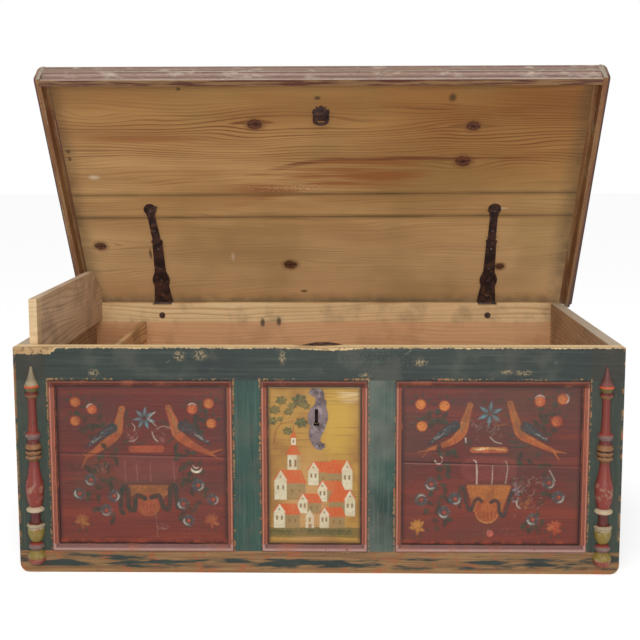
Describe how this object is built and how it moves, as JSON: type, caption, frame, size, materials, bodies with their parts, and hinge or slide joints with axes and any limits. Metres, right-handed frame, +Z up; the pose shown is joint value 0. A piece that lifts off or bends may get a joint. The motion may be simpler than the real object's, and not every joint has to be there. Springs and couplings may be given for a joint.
{
  "type": "painted chest",
  "caption": "Long wooden chest with a hinged lid, a till with its own lid, framed painted front, half balusters, strap hinges, lock and bail handles.",
  "frame": {"origin": "middle of the footprint on the floor", "axes": "+X to the right along the chest, +Y to the back, +Z up"},
  "size_m": [1.342, 0.7387, 1.0943],
  "materials": {
    "painted_front": "old oil paint, worn",
    "painted_frame": "old green paint, worn",
    "painted_moulding": "old red-brown paint, worn",
    "painted_baluster": "marbled paint, worn",
    "painted_end": "thin old paint",
    "lid_edge_paint": "faded paint, rubbed",
    "bare_pine": "unpainted, aged",
    "till_wood": "unpainted, grey with age",
    "wrought_iron": "forged, dark, rusty"
  },
  "bodies": {
    "chest": {"front_upper_board": "painted_front", "front_lower_board": "painted_front", "front_top_rail": "painted_frame", "front_bottom_rail": "painted_frame", "stile_outer_left": "painted_frame", "stile_inner_left": "painted_frame", "stile_inner_right": "painted_frame", "stile_outer_right": "painted_frame", "left_panel_moulding": "painted_moulding", "centre_panel_moulding": "painted_moulding", "right_panel_moulding": "painted_moulding", "baluster_left": "painted_baluster", "baluster_right": "painted_baluster", "left_lower_board": "painted_end", "left_upper_board": "painted_end", "right_lower_board": "painted_end", "right_upper_board": "painted_end", "back_lower_board": "bare_pine", "back_upper_board": "bare_pine", "back_top_board": "bare_pine", "bottom_front_board": "bare_pine", "bottom_middle_board": "bare_pine", "bottom_back_board": "bare_pine", "bottom_batten_left": "bare_pine", "bottom_batten_right": "bare_pine", "till_divider": "till_wood", "till_floor": "till_wood", "escutcheon": "wrought_iron", "escutcheon_nails": "wrought_iron", "lock_case": "wrought_iron", "key_post": "wrought_iron", "hinge_leaf_left": "wrought_iron", "hinge_rivets_left": "wrought_iron", "hinge_pin_left": "wrought_iron", "hinge_leaf_right": "wrought_iron", "hinge_rivets_right": "wrought_iron", "hinge_pin_right": "wrought_iron", "handle_mounts_left": "wrought_iron", "handle_mounts_right": "wrought_iron"},
    "lid": {"lid_front_board": "bare_pine", "lid_middle_board": "bare_pine", "lid_back_board": "bare_pine", "lid_front_moulding": "lid_edge_paint", "lid_left_moulding": "lid_edge_paint", "lid_right_moulding": "lid_edge_paint", "hinge_strap_left": "wrought_iron", "hinge_strap_right": "wrought_iron", "strap_nails": "wrought_iron", "lid_hasp": "wrought_iron"},
    "till_lid": {"till_lid": "till_wood"},
    "lock_bolt": {"lock_bolt": "wrought_iron"},
    "handle_left": {"handle_bail_left": "wrought_iron"},
    "handle_right": {"handle_bail_right": "wrought_iron"}
  },
  "joints": [
    {"name": "lid_hinge", "type": "hinge", "parent": "chest", "child": "lid", "pos_m": [0, 0.3455, 0.4847], "axis": [1, 0, 0], "range_deg": [0, 56.3]},
    {"name": "till_lid_hinge", "type": "hinge", "parent": "chest", "child": "till_lid", "pos_m": [-0.6051, 0, 0.449], "axis": [0, 1, 0], "range_deg": [0, 90]},
    {"name": "bolt_slide", "type": "slide", "parent": "chest", "child": "lock_bolt", "axis": [0, 1, 0], "range_m": [0, 0.014]},
    {"name": "left_handle_hinge", "type": "hinge", "parent": "chest", "child": "handle_left", "pos_m": [-0.652, 0, 0.33], "axis": [0, 1, 0], "range_deg": [0, 95]},
    {"name": "right_handle_hinge", "type": "hinge", "parent": "chest", "child": "handle_right", "pos_m": [0.652, 0, 0.33], "axis": [0, -1, 0], "range_deg": [0, 95]}
  ],
  "couplings": [
    {"joint": "till_lid_hinge", "follows": "lid_hinge", "ratio": 1.598}
  ]
}
